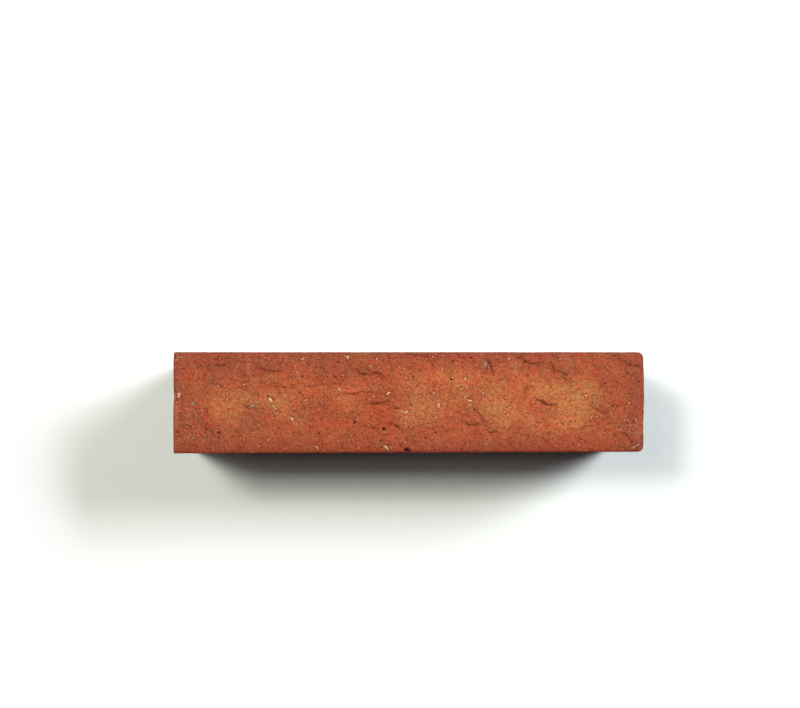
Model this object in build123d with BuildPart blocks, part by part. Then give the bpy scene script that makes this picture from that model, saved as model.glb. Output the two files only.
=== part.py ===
"""Solid clay facing brick: extruded, wire-cut at one end, torn open on its fair face.

It stands on its back face with the fair face up. X runs along its length, Y across its thickness, Z up.
"""

import os
from collections import namedtuple
from math import hypot

from build123d import *

# Overall sizes, in millimetres
LENGTH = 240.0  # from the cut end to the middle of the crowned end
WIDTH = 115.0  # from the back face up to the fair face
CUT_END_THICKNESS = 51.8  # between the bed faces at the cut end
CROWNED_END_THICKNESS = 50.9  # the lower bed face closes in by this end

# Ends, corners and edges
END_CROWN = 0.5  # how far the middle of the crowned end stands out past its corners
CROWNED_END_CORNER = 3.0  # radius of the two upright corners of the crowned end
CUT_END_CORNER = 0.8  # radius of the two upright corners of the cut end
ARRIS = 0.6  # radius of the edges round the fair face and the back face

# Torn laps of the fair face: each is a shallow dish, cut off by a steep wall along its curved crease
# along and across: the middle of the crease, as shares of the length and of the thickness there
# heading: degrees from +X to the crease; bow: how far its ends lie to the left of its middle
# run_out: from the crease to the dish's far rim; depth: at the middle of the whole dish
WALL_OVERRUN = 1.2  # how far the cut for the wall runs past the crease's ends, as a share of the crease
Lap = namedtuple("Lap", "along across heading crease bow run_out depth")
LAPS = (
    Lap(along=-0.396, across=0.374, heading=0, crease=12.0, bow=1.4, run_out=7.0, depth=0.8),
    Lap(along=-0.294, across=0.311, heading=-5, crease=12.0, bow=1.0, run_out=5.0, depth=0.5),
    Lap(along=-0.102, across=0.296, heading=-18, crease=10.0, bow=1.2, run_out=6.0, depth=0.8),
    Lap(along=-0.062, across=0.289, heading=-25, crease=9.0, bow=-1.9, run_out=8.0, depth=0.7),
    Lap(along=-0.124, across=0.079, heading=-10, crease=10.0, bow=2.3, run_out=6.0, depth=0.7),
    Lap(along=-0.066, across=-0.007, heading=0, crease=12.0, bow=1.0, run_out=7.0, depth=0.8),
    Lap(along=-0.036, across=-0.207, heading=-13, crease=9.0, bow=-1.9, run_out=6.0, depth=0.7),
    Lap(along=0.136, across=-0.220, heading=0, crease=9.0, bow=1.2, run_out=5.0, depth=0.5),
    Lap(along=0.168, across=-0.246, heading=-39, crease=11.0, bow=1.7, run_out=5.0, depth=0.7),
    Lap(along=0.176, across=0.351, heading=-72, crease=10.0, bow=-0.8, run_out=6.0, depth=0.5),
    Lap(along=0.262, across=0.389, heading=-7, crease=12.0, bow=1.9, run_out=6.0, depth=0.8),
    Lap(along=0.306, across=0.331, heading=-33, crease=8.0, bow=1.3, run_out=5.0, depth=0.6),
    Lap(along=0.291, across=-0.017, heading=-16, crease=14.0, bow=1.1, run_out=7.0, depth=0.8),
    Lap(along=0.394, across=-0.057, heading=-37, crease=11.0, bow=1.8, run_out=6.0, depth=0.8),
)

# Open pores of the fair face, placed as the laps are, and how deep each sinks as a share of its radius
PORE_SINK = 0.7
Pore = namedtuple("Pore", "along across radius")
PORES = (
    Pore(along=-0.4038, across=-0.295, radius=0.9),
    Pore(along=-0.1162, across=-0.195, radius=0.8),
    Pore(along=-0.0524, across=-0.259, radius=0.8),
    Pore(along=-0.0045, across=-0.466, radius=1.3),
    Pore(along=0.0934, across=0.412, radius=0.7),
    Pore(along=0.1392, across=-0.071, radius=0.8),
    Pore(along=0.4329, across=-0.037, radius=0.8),
)

# Chips out of the edges of the fair face: side is the edge that carries it, along its middle as above
Chip = namedtuple("Chip", "side along across length depth")
CHIPS = (
    Chip(side=(0, -1), along=-0.011, across=-0.5, length=13.0, depth=0.7),
    Chip(side=(0, 1), along=0.447, across=0.5, length=10.0, depth=0.6),
    Chip(side=(0, 1), along=-0.470, across=0.5, length=9.0, depth=0.6),
    Chip(side=(-1, 0), along=-0.5, across=0.130, length=8.0, depth=0.8),
    Chip(side=(1, 0), along=0.5, across=0.115, length=4.0, depth=0.8),
)

upper_bed = CUT_END_THICKNESS / 2
cut_end_lower_bed = -CUT_END_THICKNESS / 2
crowned_end_lower_bed = upper_bed - CROWNED_END_THICKNESS
cut_end = -LENGTH / 2
crowned_end = LENGTH / 2
crowned_end_corners = crowned_end - END_CROWN
crown_height = (upper_bed + crowned_end_lower_bed) / 2


def lower_bed_at(x):
    """Height of the lower bed face's line at x, in the view onto the fair face."""
    share = (x - cut_end) / (crowned_end_corners - cut_end)
    return cut_end_lower_bed + share * (crowned_end_lower_bed - cut_end_lower_bed)


def spot_on_face(along, across):
    """Point of the fair face at these shares of the brick's length and of its thickness there."""
    x = along * LENGTH
    low = lower_bed_at(x)
    return x, low + (across + 0.5) * (upper_bed - low)


def lap_dish(lap):
    """Solid that one torn lap takes out: the cap of a large ball, cut off along the crease."""
    x, y = spot_on_face(lap.along, lap.across)
    half = lap.crease / 2
    rim_middle = (half**2 + lap.bow**2 - lap.run_out**2) / (2 * (lap.run_out + lap.bow))
    rim_radius = lap.run_out + rim_middle
    ball_radius = (rim_radius**2 + lap.depth**2) / (2 * lap.depth)
    wall_end = (half * WALL_OVERRUN, lap.bow * WALL_OVERRUN**2)
    wall_start = (-wall_end[0], wall_end[1])
    crease_plane = Plane((x, y, WIDTH)).rotated((0, 0, lap.heading))
    with BuildPart(crease_plane) as dish:
        with Locations((0, rim_middle, ball_radius - lap.depth)):
            Sphere(ball_radius)
        with BuildSketch(crease_plane):
            with BuildLine():
                ThreePointArc(wall_start, (0, 0), wall_end)
                Polyline(
                    wall_end,
                    (wall_end[0], -lap.run_out * WALL_OVERRUN),
                    (wall_start[0], -lap.run_out * WALL_OVERRUN),
                    wall_start,
                )
            make_face()
        extrude(amount=2 * lap.depth, both=True, mode=Mode.INTERSECT)
    return dish.part


def cut_pore(pore):
    """Cut one open pore, a cap of a ball sunk into the fair face."""
    x, y = spot_on_face(pore.along, pore.across)
    with Locations((x, y, WIDTH + pore.radius * (1 - PORE_SINK))):
        Sphere(pore.radius, mode=Mode.SUBTRACT)


def cut_chip(chip):
    """Cut one chip with a ball that bites the sharp edge, from outside and above, to the chip's depth."""
    x, y = spot_on_face(chip.along, chip.across)
    radius = (chip.length**2 / 4 + chip.depth**2) / (2 * chip.depth)
    reach = (radius - chip.depth) / hypot(1, 1)
    out_x, out_y = chip.side
    with Locations((x + out_x * reach, y + out_y * reach, WIDTH + reach)):
        Sphere(radius, mode=Mode.SUBTRACT)


dishes = [lap_dish(lap) for lap in LAPS]

with BuildPart() as brick:
    with BuildSketch():
        with BuildLine():
            Polyline(
                (crowned_end_corners, crowned_end_lower_bed),
                (cut_end, cut_end_lower_bed),
                (cut_end, upper_bed),
                (crowned_end_corners, upper_bed),
            )
            ThreePointArc(
                (crowned_end_corners, upper_bed),
                (crowned_end, crown_height),
                (crowned_end_corners, crowned_end_lower_bed),
            )
        make_face()
    extrude(amount=WIDTH)

    uprights = brick.edges().filter_by(Axis.Z).sort_by(Axis.X)
    fillet(uprights[:2], radius=CUT_END_CORNER)
    uprights = brick.edges().filter_by(Axis.Z).sort_by(Axis.X)
    fillet(uprights[-2:], radius=CROWNED_END_CORNER)
    fillet(brick.faces().sort_by(Axis.Z)[0].edges(), radius=ARRIS)
    fillet(brick.faces().sort_by(Axis.Z)[-1].edges(), radius=ARRIS)

    for dish in dishes:
        add(dish, mode=Mode.SUBTRACT)
    for pore in PORES:
        cut_pore(pore)
    for chip in CHIPS:
        cut_chip(chip)

brick.part.label = "brick"

os.makedirs("parts", exist_ok=True)
export_step(brick.part, "parts/brick.step")
print(f"volume {brick.part.volume / 1e6:.4f} litres, {len(brick.part.solids())} solid")
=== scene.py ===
"""Looks of a solid clay facing brick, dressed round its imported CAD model.

The brick stands on its back face. X runs along its length, Y across its thickness, and Z up, out of the
torn fair face. Sizes and places on the brick are in millimetres, measured on the fair face from its middle,
and are turned into metres with MM. The studio's are in metres.
"""

import logging
import math
from dataclasses import dataclass, field
from enum import Enum
from itertools import product

import bmesh
import bpy
import numpy as np
from mathutils import Matrix, Quaternion, Vector
from mathutils.bvhtree import BVHTree


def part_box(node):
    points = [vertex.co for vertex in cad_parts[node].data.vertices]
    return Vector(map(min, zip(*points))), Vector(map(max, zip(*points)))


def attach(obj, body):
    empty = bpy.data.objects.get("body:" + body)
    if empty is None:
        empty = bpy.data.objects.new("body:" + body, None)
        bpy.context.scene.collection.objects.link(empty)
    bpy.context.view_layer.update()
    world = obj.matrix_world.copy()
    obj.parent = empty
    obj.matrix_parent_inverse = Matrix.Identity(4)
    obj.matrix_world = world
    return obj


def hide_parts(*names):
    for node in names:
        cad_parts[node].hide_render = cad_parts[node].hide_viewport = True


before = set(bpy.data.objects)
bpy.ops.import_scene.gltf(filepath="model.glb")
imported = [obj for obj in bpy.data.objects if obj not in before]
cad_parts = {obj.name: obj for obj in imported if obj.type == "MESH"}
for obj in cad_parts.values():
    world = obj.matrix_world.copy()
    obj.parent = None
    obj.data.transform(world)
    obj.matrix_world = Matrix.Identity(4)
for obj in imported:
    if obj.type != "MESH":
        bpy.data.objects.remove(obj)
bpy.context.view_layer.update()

MM = 0.001
NODE = "brick"
BODY = "root"

# Distance stated for places that are near no outline, and how far past its outline a spot is looked at
FAR = 2.0

log = logging.getLogger("brick")


class Tint(Enum):
    """Stains of the fired face, each held in a mesh attribute of this name."""

    FLASH = "flash"
    EMBER = "ember"
    RUST = "rust"
    SCORCH = "scorch"
    DUST = "dust"
    BLUSH = "blush"


class Cut(Enum):
    """Section of a crease: a step down to a torn floor on its right or left, seen along it, or a crack."""

    RIGHT = 1.0
    LEFT = -1.0
    CRACK = 0.0


@dataclass(frozen=True)
class Crease:
    """A torn lap or a crack along a line, and how far a lap's floor runs until it is level again."""

    line: tuple[tuple[float, float], ...]
    depth: float = 0.6
    run_out: float = 6.0
    cut: Cut = Cut.RIGHT


@dataclass(frozen=True)
class Pit:
    """An open pore, as an ellipse turned by its angle in degrees."""

    x: float
    y: float
    length: float
    width: float
    angle: float = 0.0
    depth: float = 0.8


@dataclass(frozen=True)
class Fleck:
    """A grain in the fair face, as wide as long if no width is given. Tone runs from dark to light.

    Its depth is that of the socket it sits in.
    """

    x: float
    y: float
    length: float
    width: float = 0.0
    angle: float = 0.0
    tone: float = 0.4
    depth: float = 0.22


@dataclass(frozen=True)
class Swarm:
    """Small grains that lie thickly round a place of the fair face."""

    x: float
    y: float
    reach_x: float
    reach_y: float
    count: int


@dataclass(frozen=True)
class Stain:
    """A soft patch of a tint, as an ellipse."""

    x: float
    y: float
    reach_x: float
    reach_y: float
    strength: float


@dataclass(frozen=True)
class Dent:
    """A shallow dent in one of the faces that aren't torn."""

    face: str
    place: tuple[float, float, float]
    reach: tuple[float, float, float]
    depth: float


CREASES = (
    Crease(((-100, 19), (-95, 18.8), (-91.5, 20.3)), 0.6, 5),
    Crease(((-98, 22.5), (-87.4, 22.6)), 0.35, 3),
    Crease(((-90, 21), (-84.4, 21), (-82.3, 20)), 0.35, 3),
    Crease(((-76.7, 17), (-72, 16.2), (-68, 16), (-62.9, 16)), 0.45, 5),
    Crease(((-104.8, -12.1), (-102.7, -13.7), (-100.2, -14.7), (-98.6, -17.8)), 0.6, 5),
    Crease(((-73, 9), (-60.3, 8), (-56.2, 10)), 0.4, 6),
    Crease(((-53.7, 9.8), (-50, 8.3), (-47, 9.3)), 0.4, 4),
    Crease(((-55.2, 1.4), (-54.7, -0.6), (-52.7, -3.2)), 0.6, 4, Cut.CRACK),
    Crease(((-36.8, 21.6), (-35.6, 20.4), (-34.7, 18.5)), 0.5, 4, Cut.CRACK),
    Crease(((-39.9, 10.3), (-33.7, 9.3)), 0.35, 4),
    Crease(
        ((-30.6, 18.9), (-28.4, 17.6), (-25.6, 16), (-23.5, 14.7), (-15.3, 15), (-12.8, 13.4), (-10.7, 10.9)),
        0.72, 8,
    ),
    Crease(((-33.2, 5.7), (-29.6, 4.2), (-27.1, 4.7), (-24.5, 5.7), (-21.5, 5.2), (-20, 3.7)), 0.45, 5),
    Crease(((-21.4, 0.3), (-16.3, -0.4), (-10.2, 0.8), (-7.9, 0.1)), 0.66, 7),
    Crease(((-39.3, -4), (-37.8, -6), (-34.2, -8.6)), 0.65, 5, Cut.LEFT),
    Crease(((-24.5, -11.6), (-17.9, -13.2), (-14.8, -13.7)), 0.5, 5),
    Crease(((-11.8, -11.8), (-9.2, -10.6), (-7.2, -11.2), (-4.1, -13.8)), 0.5, 5),
    Crease(((-2, 24.5), (4.1, 24), (11.2, 23.8)), 0.6, 4),
    Crease(((8.2, 22.1), (11.2, 20.6), (13.3, 17.5)), 0.35, 3),
    Crease(((11.2, 22.3), (14.3, 19.6)), 0.3, 3),
    Crease(((11.8, 11.4), (12.8, 8.3), (12.3, 4.2)), 0.5, 4, Cut.CRACK),
    Crease(((28.1, -9.7), (32.2, -11.2), (35.8, -10.7)), 0.7, 5),
    Crease(((33.4, -3.7), (36.4, -5.8), (37.6, -9), (40.2, -10), (41.7, -12)), 0.36, 5),
    Crease(((40.3, -13.9), (41.9, -15.4), (45.4, -14.4)), 0.6, 4),
    Crease(((38.6, 23.2), (40.9, 20.6), (42.4, 16.5), (42.9, 13.2)), 0.85, 5, Cut.CRACK),
    Crease(((53.6, 22.6), (57.2, 22.6), (59.8, 21.1), (62.8, 20), (67.9, 20.6), (69.5, 21.3)), 0.6, 7),
    Crease(((70, 19), (73.1, 19), (74.1, 17), (75.6, 16.5), (77.7, 18)), 0.6, 5),
    Crease(((63.4, 2.7), (67.4, 0.9), (69.5, -0.3), (71.5, -1.1), (76.1, -0.6)), 0.68, 7),
    Crease(((91.2, 2.4), (93.0, 0.6), (94.5, -2.0), (96.4, -4.4)), 0.55, 5, Cut.CRACK),
    Crease(((97.6, -5), (101.2, -5)), 0.55, 4),
    Crease(((84.8, 19.9), (84.9, 17.5), (85.9, 15.3)), 0.3, 3, Cut.CRACK),
    Crease(((93, 19.8), (98.1, 16.8)), 0.45, 4),
    Crease(((58.8, -15.7), (60.3, -17.6), (59.8, -19.6)), 0.65, 3, Cut.CRACK),
    Crease(((109.7, 18.2), (110.8, 15.8), (112.9, 13.4)), 0.65, 5, Cut.CRACK),
    Crease(((107.3, 22.6), (110.4, 20.6), (113.4, 19), (118.5, 18.5)), 0.6, 5),
    Crease(((109.4, -14.2), (110.7, -16.4), (112.4, -18.6)), 0.75, 4, Cut.CRACK),
)

PITS = (
    Pit(-96.9, -15.2, 2.2, 1.0, 30, 0.6),
    Pit(-27.9, -10.1, 1.7, 1.2, 10, 0.75),
    Pit(-12.6, -13.4, 1.7, 1.4, 0, 1.5),
    Pit(-45.8, -15.7, 1.2, 1.2, 0, 1.0),
    Pit(-6.5, -2.8, 1.2, 1.1, 0, 0.4),
    Pit(-26.9, -1.4, 0.9, 0.8, 0, 0.5),
    Pit(-24.6, 1.1, 0.8, 0.8, 0, 0.4),
    Pit(-14.4, -19.3, 0.9, 0.9, 0, 0.6),
    Pit(2.2, 13.2, 1.0, 0.9, 0, 0.55),
    Pit(22.4, 21.3, 1.0, 0.8, 0, 0.6),
    Pit(21.4, 11.9, 1.3, 1.1, 0, 0.8),
    Pit(31.6, 22.9, 0.9, 0.8, 0, 0.6),
    Pit(33.4, -3.7, 1.3, 0.9, -35, 0.8),
    Pit(-3.1, -15.2, 0.9, 0.8, 0, 0.5),
    Pit(13.5, -15.2, 1.2, 0.9, 0, 0.6),
    Pit(8.6, -17.8, 0.8, 0.7, 0, 0.4),
    Pit(-0.9, -24.2, 2.8, 1.6, 0, 1.9),
    Pit(-117.8, -14.7, 1.0, 0.9, 0, 0.8),
    Pit(-102.2, -6.5, 0.8, 0.8, 0, 0.7),
    Pit(-102.7, -13.4, 1.5, 0.7, 20, 0.45),
    Pit(-91.5, -3.5, 1.3, 0.6, 20, 0.4),
    Pit(-65.4, 5.0, 0.9, 0.7, 0, 0.6),
    Pit(99.8, 9.8, 1.4, 1.2, 0, 0.85),
    Pit(103.9, -1.9, 1.8, 1.0, -55, 0.7),
    Pit(78.4, -10.6, 0.9, 0.8, 0, 0.35),
    Pit(75.6, -10.6, 1.0, 0.8, 0, 0.5),
    Pit(82.2, -9.6, 0.9, 0.7, 0, 0.5),
    Pit(113.4, -20.0, 1.1, 1.0, 0, 0.85),
    Pit(114.4, -9.6, 1.3, 0.9, 30, 0.75),
)

DENTS = (
    Dent("cut", (-120.0, 2.6, 113.0), (9.0, 6.0, 18.0), 0.3),
    Dent("cut", (-120.0, 26.0, 113.0), (9.0, 6.0, 16.0), 0.22),
    Dent("crowned", (120.0, -9.5, 113.0), (9.0, 11.0, 18.0), 0.28),
)

STAINS = {tint: tuple(Stain(*row) for row in rows) for tint, rows in {
    Tint.FLASH: (
        (-92, -1, 9, 7, 0.75), (-90, -10, 5, 4, 0.45), (-78, 3, 8, 5, 0.5), (-66, 0, 7, 6, 0.65),
        (-57, -9, 5, 4, 0.3), (4, 2, 6, 9, 0.5), (10, -3, 7, 7, 0.5), (0, -6, 5, 5, 0.5),
        (29, 6, 5, 6, 0.55), (44, 1, 8, 9, 0.7), (50, -6, 8, 6, 0.7), (73, 5, 8, 5, 0.5),
        (84, 0, 10, 9, 0.95), (80, -9, 8, 4, 0.5), (90, 6, 6, 6, 0.6), (-118.7, -5, 1.6, 8, 0.6),
    ),
    Tint.EMBER: (
        (20, 12, 22, 5, 0.75), (68.5, 6, 7, 5, 0.8), (58, 9, 11, 6, 0.6), (-56, 8, 9, 6, 0.4),
        (-31, 2, 8, 7, 0.55), (61, -5, 6, 5, 0.5), (76, -12, 13, 4, 0.5), (20, -1, 6, 6, 0.5),
    ),
    Tint.RUST: (
        (-13, -5, 9, 6, 0.75), (-20, -11, 20, 5, 0.5), (-46, -7, 11, 9, 0.3), (24, -13, 15, 5, 0.35),
    ),
    Tint.SCORCH: (
        (-97, 19, 12, 4, 0.4), (-71, 19, 10, 4, 0.4), (-41, 18, 7, 6, 0.45), (-24, 19, 6, 3, 0.3),
        (42, 21, 4, 4, 0.35), (114, 19, 8, 6, 0.4), (115, -12, 7, 13, 0.35), (-112, -8, 6, 9, 0.25),
        (-102, -20, 10, 4, 0.35), (40, -22, 32, 3, 0.25),
    ),
    Tint.BLUSH: (
        (-80, -9, 5, 9, 0.5), (-99.6, -17, 5, 4, 0.5),
    ),
    Tint.DUST: (
        (-81, 19, 2, 4, 0.35), (54.5, 16, 1.5, 6, 0.4), (63, -10, 2, 6, 0.35), (81, 20, 2.5, 4, 0.3),
        (118, -12, 2, 6, 0.3),
    ),
}.items()}

PALE_FLECKS = tuple(Fleck(*row) for row in (
    (-115.5, 23.4, 1.1), (-117.5, 22.9, 3.2, 0.5, 50), (-96, 22.9, 1.1, 0, 0, 0.1),
    (-88.4, 23.1, 0.8, 0, 0, 0.1), (-69.5, 18, 0.9, 0, 0, 0), (-83.8, 9.3, 1.3, 0, 0, 0.2),
    (-117, 3.7, 2.1, 2.8, 10, 0.45), (-108.3, -7.5, 1.2, 0, 0, 0.1), (-107.2, -6.6, 0.8, 0, 0, 0.0),
    (-109.6, -8.6, 0.7, 0, 0, 0), (-71, 3.1, 1.6, 0.7, -50, 0), (-70.2, 1.2, 2.8, 1.2, -65, 0.95),
    (-69, -1.6, 2.4, 1.1, -50, 0.6), (-67.4, -3, 1.6, 0.9, -20), (-66.9, -5.5, 1.2, 0, 0, 0.1),
    (-68.4, -5.3, 0.8), (-82.2, -6, 1.0, 0, 0, 0), (-83.8, -18.8, 1.1, 0, 0, 0.2), (-78.7, -18, 0.9),
    (-71.3, -18.8, 1.3, 0, 0, 0), (-79.2, -25, 0.9), (-99.6, -24, 0.8), (-65.4, -25, 0.7),
    (-54.2, 22.1, 1.7, 1.0, 30), (-52.1, 19, 0.8), (-48, 19.5, 0.9), (-56.7, 15.5, 1.3, 0, 0, 0.1),
    (-55.7, 12.4, 1.0), (-31.1, 23.1, 1.8, 1.5, 0, 1.0), (-33.7, 14.4, 1.1), (-22, 25, 1.0),
    (-16.3, 22.4, 1.1), (-35.2, 6.7, 2.2, 0.8, -40, 0.9), (-33, 6.4, 1.6, 0.7, 45),
    (-10, 5, 2.6, 1.0, 35, 0.9), (-17.4, 3.2, 1.2), (-18.4, 4.2, 0.8, 0, 0, 0), (-52.6, 1.4, 1.6, 0.8),
    (-59.5, -8, 2.1, 1.2, -45, 0.75), (-56.7, -7, 0.8), (-57.2, -11.1, 3.4, 0.6, 40, 0.1),
    (-26.3, -8.4, 3.0, 0.8, -32, 0), (-29.1, -16.7, 1.0), (-31.2, -17.2, 0.7),
    (-46.5, -22.6, 3.0, 0.8, -45, 0.2), (-42.9, -24.1, 1.1, 0, 0, 0.1), (-25.3, -23.1, 1.0, 0, 0, 0.1),
    (-12.0, -22.1, 2.4, 0.8, -55, 1.0), (-10.6, -23.3, 2.6, 0.8, -50, 1.0), (-9, -22.7, 2.0, 0.6, -55),
    (13.8, 24.6, 1.0), (12.3, 23.4, 1.2), (17.4, 17.2, 2.1, 0.6), (15.3, 8.8, 1.8, 0.6),
    (22.3, 12.6, 1.6, 1.0, -30, 0.8), (28.9, 12.4, 1.3, 1.5, 0, 0.8), (26.6, 7.3, 1.0, 1.4, 0, 0.2),
    (35.8, 7.3, 1.0), (37.8, 4.7, 1.2, 1.7, 0, 0.4), (29.1, 2.4, 3.6, 0.7, -52),
    (31.2, 1.2, 2.6, 1.0, 8, 0.8), (31.2, -0.7, 3.0, 0.8, -12), (12.8, 5.2, 2.0, 0.8, -65),
    (15.3, 2.2, 1.1, 0, 0, 0.1), (15.3, -1.4, 1.6, 2.4, 10), (13.3, -5, 1.6, 1.0, 45),
    (14, -7.5, 1.2, 0, 0, 0.8), (17.9, 0.1, 0.9), (0.5, -2.4, 2.0, 0.8, 75), (-2.8, -4.7, 3.0, 0.9, -30),
    (-0.9, -4.6, 2.0, 0.9, 50, 0.8), (-1.6, -10.1, 1.3), (-4.1, -8.7, 3.2, 0.7, -35, 0.15),
    (3.5, 5.7, 2.1, 0.9, 10), (-2.1, -20.3, 1.5, 0.9, 80, 0.1), (0.6, -7.2, 1.0, 0, 0, 0),
    (41.9, -9.6, 1.0), (50.8, 22.6, 1.5, 1.0, -35), (47, 19.5, 1.0), (63.3, 10.3, 2.4, 0.7),
    (63.5, 9.4, 1.6, 0.7, 80), (76.1, 10.3, 1.1, 0, 0, 0.1), (77.2, 9.3, 1.3, 0.7), (79.2, 5.2, 1.1),
    (80.6, 4.2, 0.8, 0, 0, 0.1), (82.7, 4.7, 1.0), (87.9, 3.7, 1.1), (90.4, 3.7, 1.5, 2.0, 20, 0.4),
    (88.9, 2.9, 1.0), (94, 2.7, 1.0), (49.5, 2.2, 1.1), (51, -0.4, 0.9), (51.5, -2.4, 1.0), (50.5, -6, 1.2),
    (45.4, -5, 1.1), (49, -4.5, 1.0), (57.1, -3.5, 1.2, 0, 0, 0.1), (86.8, -5, 1.6, 1.2, 0, 0.3),
    (88.2, -4.2, 0.8), (89.4, -3.5, 0.8), (92.9, -8, 1.8, 0.9, 60, 0.1), (95.7, -7, 0.9), (112.4, 0.1, 1.1),
    (116, -9.1, 1.8, 0.9, 60, 0.1), (80.2, -25, 1.0), (90.4, -24.4, 0.8, 0, 0, 0.0),
    (102, -1.5, 0.9, 0, 0, 0),
))

GREY_FLECKS = tuple(Fleck(*row) for row in (
    (-106.3, 18, 2.3, 2.0, 0, 0), (-109.6, -0.4, 1.6, 2.4, 10), (-108.9, -3.5, 1.2), (-112.9, -12.1, 1.3),
    (-109.4, -17.8, 1.9, 1.3, 0, 0.25), (-106.6, -18.1, 1.2), (-79.7, -1.4, 2.8, 1.4, 0, 0.65),
    (-97.1, 8.8, 1.5, 0, 0, 0.8), (-97.1, -18.8, 1.4, 1.0, -20), (-74.1, -19.3, 1.1, 0, 0, 0.1),
    (-61.3, 12.9, 1.1, 0, 0, 0.3), (-53.7, -2.4, 1.3, 0, 0, 0.2), (-19.4, 18.5, 2.2, 1.1, -30, 0.85),
    (31.6, 8, 2.3, 1.7, 25, 0.25), (39.1, 19.5, 2.3, 3.4, 5, 0.45), (-13.8, -21.3, 1.4, 0, 0, 0.1),
    (4.6, 9.3, 1.2, 0.8, 40), (77.1, 22.4, 2.2, 1.1, 25, 1.0), (75, 21.9, 1.0),
    (87.4, -19.3, 1.3, 0, 0, 0.15), (108.3, -11.6, 1.2), (113.4, -5.5, 1.2, 0.8, -40, 0.2),
    (-100.1, 10.9, 1.8, 1.4, 0, 0.1), (114.6, -22.4, 3.6, 1.6, 12, 0.5), (117, -21.2, 2.6, 1.1, 35, 0.5),
    (34, 17.5, 1.0), (-118.2, 0.2, 1.0, 1.8),
))

PALE_SWARMS = (
    Swarm(-111, -6, 6, 8, 24),
    Swarm(-56.5, 14.5, 1.5, 7, 14),
    Swarm(-50, 17, 5, 6, 8),
    Swarm(-27, 4, 6, 9, 16),
    Swarm(-2, 8, 6, 10, 20),
    Swarm(35, -6, 5, 9, 12),
    Swarm(71, 14, 6, 8, 14),
    Swarm(102, -3, 7, 9, 16),
    Swarm(108, -11, 5, 5, 12),
)

GREY_SWARMS = (
    Swarm(-107, -9, 8, 9, 26),
    Swarm(111, -14, 7, 8, 16),
)

DARK_SWARMS = (
    Swarm(-112, -9, 7, 7, 16),
    Swarm(-48, 18, 8, 5, 16),
    Swarm(-12, 3, 7, 9, 18),
    Swarm(7, 6, 7, 10, 30),
    Swarm(34, 0, 6, 10, 12),
    Swarm(95, 14, 6, 7, 20),
    Swarm(112, -10, 6, 6, 12),
)

OUTWARD = {
    "fair": (0, 0, 1),
    "back": (0, 0, -1),
    "upper": (0, 1, 0),
    "lower": (0, -1, 0),
    "cut": (-1, 0, 0),
    "crowned": (1, 0, 0),
}

# How far the darker rim of the fair face reaches in from each edge, and how strong it is there
RIMS = {"upper": (5.0, 0.6), "lower": (9.0, 0.9), "cut": (8.0, 0.8), "crowned": (12.0, 0.85)}


@dataclass(frozen=True)
class BrickBox:
    """The CAD brick's box and the six faces that the relief is measured from, in millimetres."""

    low: np.ndarray
    high: np.ndarray
    taper: float = 0.9

    @classmethod
    def of(cls, node: str) -> "BrickBox":
        """The box of a CAD node."""
        return cls(*(np.array(corner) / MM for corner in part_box(node)))

    def depths(self, points: np.ndarray) -> dict[str, np.ndarray]:
        """Distance of each point behind each face of the brick.

        Args:
            points: Places as rows of X, Y and Z.

        Returns:
            One array for each face: fair, back, upper, lower, cut and crowned.
        """
        x, y, z = points.T
        share = (x - self.low[0]) / (self.high[0] - self.low[0])
        return {
            "fair": self.high[2] - z,
            "back": z - self.low[2],
            "upper": self.high[1] - y,
            "lower": y - self.low[1] - self.taper * share,
            "cut": x - self.low[0],
            "crowned": self.high[0] - x,
        }


def add_object(name: str, data: bpy.types.ID) -> bpy.types.Object:
    """Put a mesh, lamp or camera in the scene as an object of this name."""
    made = bpy.data.objects.new(name, data)
    bpy.context.scene.collection.objects.link(made)
    return made


def add_mesh(name: str, shell: bmesh.types.BMesh) -> bpy.types.Object:
    """Put a finished shell in the scene as an object of this name, and free it."""
    mesh = bpy.data.meshes.new(name)
    shell.to_mesh(mesh)
    shell.free()
    return add_object(name, mesh)


def smooth_step(value: np.ndarray, low: float, high: float) -> np.ndarray:
    """Ease from 0 at low to 1 at high."""
    share = np.clip((value - low) / (high - low), 0, 1)
    return share * share * (3 - 2 * share)


def fade(value: np.ndarray, low: float, high: float) -> np.ndarray:
    """Ease from 1 at low to 0 at high."""
    return 1 - smooth_step(value, low, high)


def bell(distance: np.ndarray, width: float) -> np.ndarray:
    """1 at no distance, falling off on both sides as a bell curve."""
    return np.exp(-((distance / width) ** 2))


@dataclass(frozen=True)
class Waves:
    """Seeded gradient noise between about minus and plus its height, the same for every run."""

    size: float
    seed: int
    height: float = 1.0
    stretch: tuple[float, float, float] = (1.0, 1.0, 1.0)
    corner: tuple[float, float, float] = (-130.0, -32.0, -6.0)
    span: tuple[float, float, float] = (260.0, 64.0, 128.0)
    gain: float = 1.6

    def at(self, points: np.ndarray) -> np.ndarray:
        """Value of the noise.

        Args:
            points: Places in millimetres, as rows.

        Returns:
            One value for each place.
        """
        cell = self.size * np.array(self.stretch)
        counts = np.ceil(np.array(self.span) / cell).astype(int) + 2
        slopes = np.random.default_rng(self.seed).normal(size=(*counts, 3)).astype(np.float32)
        slopes /= np.linalg.norm(slopes, axis=-1, keepdims=True)
        scaled = (points - np.array(self.corner)) / cell
        base = np.floor(scaled).astype(int)
        offset = scaled - base
        ease = offset**3 * (offset * (offset * 6 - 15) + 10)
        total = np.zeros(len(points))
        for step in product((0, 1), repeat=3):
            slope = slopes[tuple((base + step).T)]
            weight = np.where(step, ease, 1 - ease).prod(axis=1)
            total += weight * ((offset - step) * slope).sum(axis=1)
        return self.height * (total * self.gain)


def sideways(points: np.ndarray, size: float, seeds: tuple[int, int], height: float = 1.0) -> np.ndarray:
    """A seeded shift along X and Y for each place, as rows."""
    return np.stack([Waves(size, seed, height).at(points) for seed in seeds], axis=1)


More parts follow.
